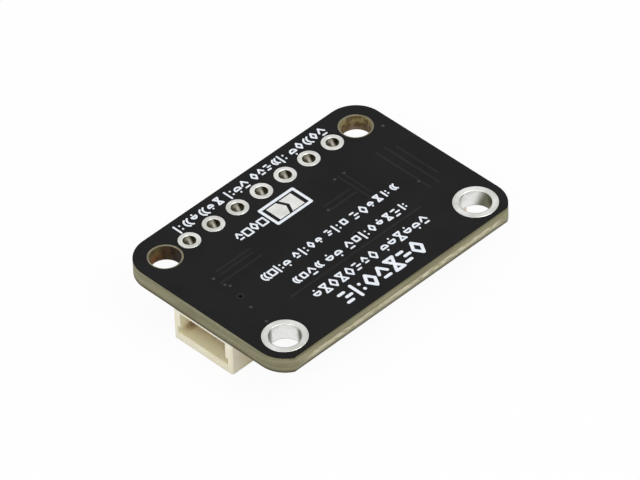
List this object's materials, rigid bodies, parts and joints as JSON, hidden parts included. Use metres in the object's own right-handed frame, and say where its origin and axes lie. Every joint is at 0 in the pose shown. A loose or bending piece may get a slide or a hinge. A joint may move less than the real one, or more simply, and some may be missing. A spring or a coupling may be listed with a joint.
{
  "type": "temperature humidity sensor module",
  "caption": "Small circuit board with a row of plated header holes, corner mounting holes and side-entry cable connectors under its short edges.",
  "frame": {"origin": "the middle of the board's outline, at the lowest face of the cable connectors that it rests on", "axes": "+Z out of the solder side, +X along the board, header row along the +Y edge"},
  "size_m": [0.0252, 0.0176, 0.0044],
  "materials": {
    "laminate": "satin glass-epoxy",
    "solder_mask": "satin black",
    "tinned_metal": "tinned",
    "white_print": "matt ink",
    "connector_plastic": "satin nylon",
    "package_plastic": "matt epoxy",
    "sensor_metal": "satin",
    "sensor_laminate": "satin",
    "silicon": "polished",
    "capacitor_ceramic": "satin",
    "resistor_ceramic": "satin"
  },
  "bodies": {
    "root": {"address_jumper_pads": "tinned_metal", "back_print": "white_print", "back_solder_mask": "solder_mask", "board_core": "laminate", "component_lands": "tinned_metal", "diode_body": "package_plastic", "diode_leads": "tinned_metal", "far_connector_contacts": "tinned_metal", "far_connector_housing": "connector_plastic", "far_connector_tabs": "tinned_metal", "front_solder_mask": "solder_mask", "header_hole_plating": "tinned_metal", "large_capacitor_1_body": "capacitor_ceramic", "large_capacitor_1_ends": "tinned_metal", "large_capacitor_2_body": "capacitor_ceramic", "large_capacitor_2_ends": "tinned_metal", "mounting_hole_plating": "tinned_metal", "near_connector_contacts": "tinned_metal", "near_connector_housing": "connector_plastic", "near_connector_tabs": "tinned_metal", "regulator_body": "package_plastic", "regulator_leads": "tinned_metal", "resistor_1_body": "resistor_ceramic", "resistor_1_ends": "tinned_metal", "resistor_2_body": "resistor_ceramic", "resistor_2_ends": "tinned_metal", "resistor_3_body": "resistor_ceramic", "resistor_3_ends": "tinned_metal", "resistor_4_body": "resistor_ceramic", "resistor_4_ends": "tinned_metal", "resistor_pack_body": "resistor_ceramic", "resistor_pack_ends": "tinned_metal", "sensor_base": "sensor_laminate", "sensor_die": "silicon", "sensor_lid": "sensor_metal", "small_capacitor_1_body": "capacitor_ceramic", "small_capacitor_1_ends": "tinned_metal", "small_capacitor_2_body": "capacitor_ceramic", "small_capacitor_2_ends": "tinned_metal", "transistor_1_body": "package_plastic", "transistor_1_leads": "tinned_metal", "transistor_2_body": "package_plastic", "transistor_2_leads": "tinned_metal"}
  },
  "joints": []
}
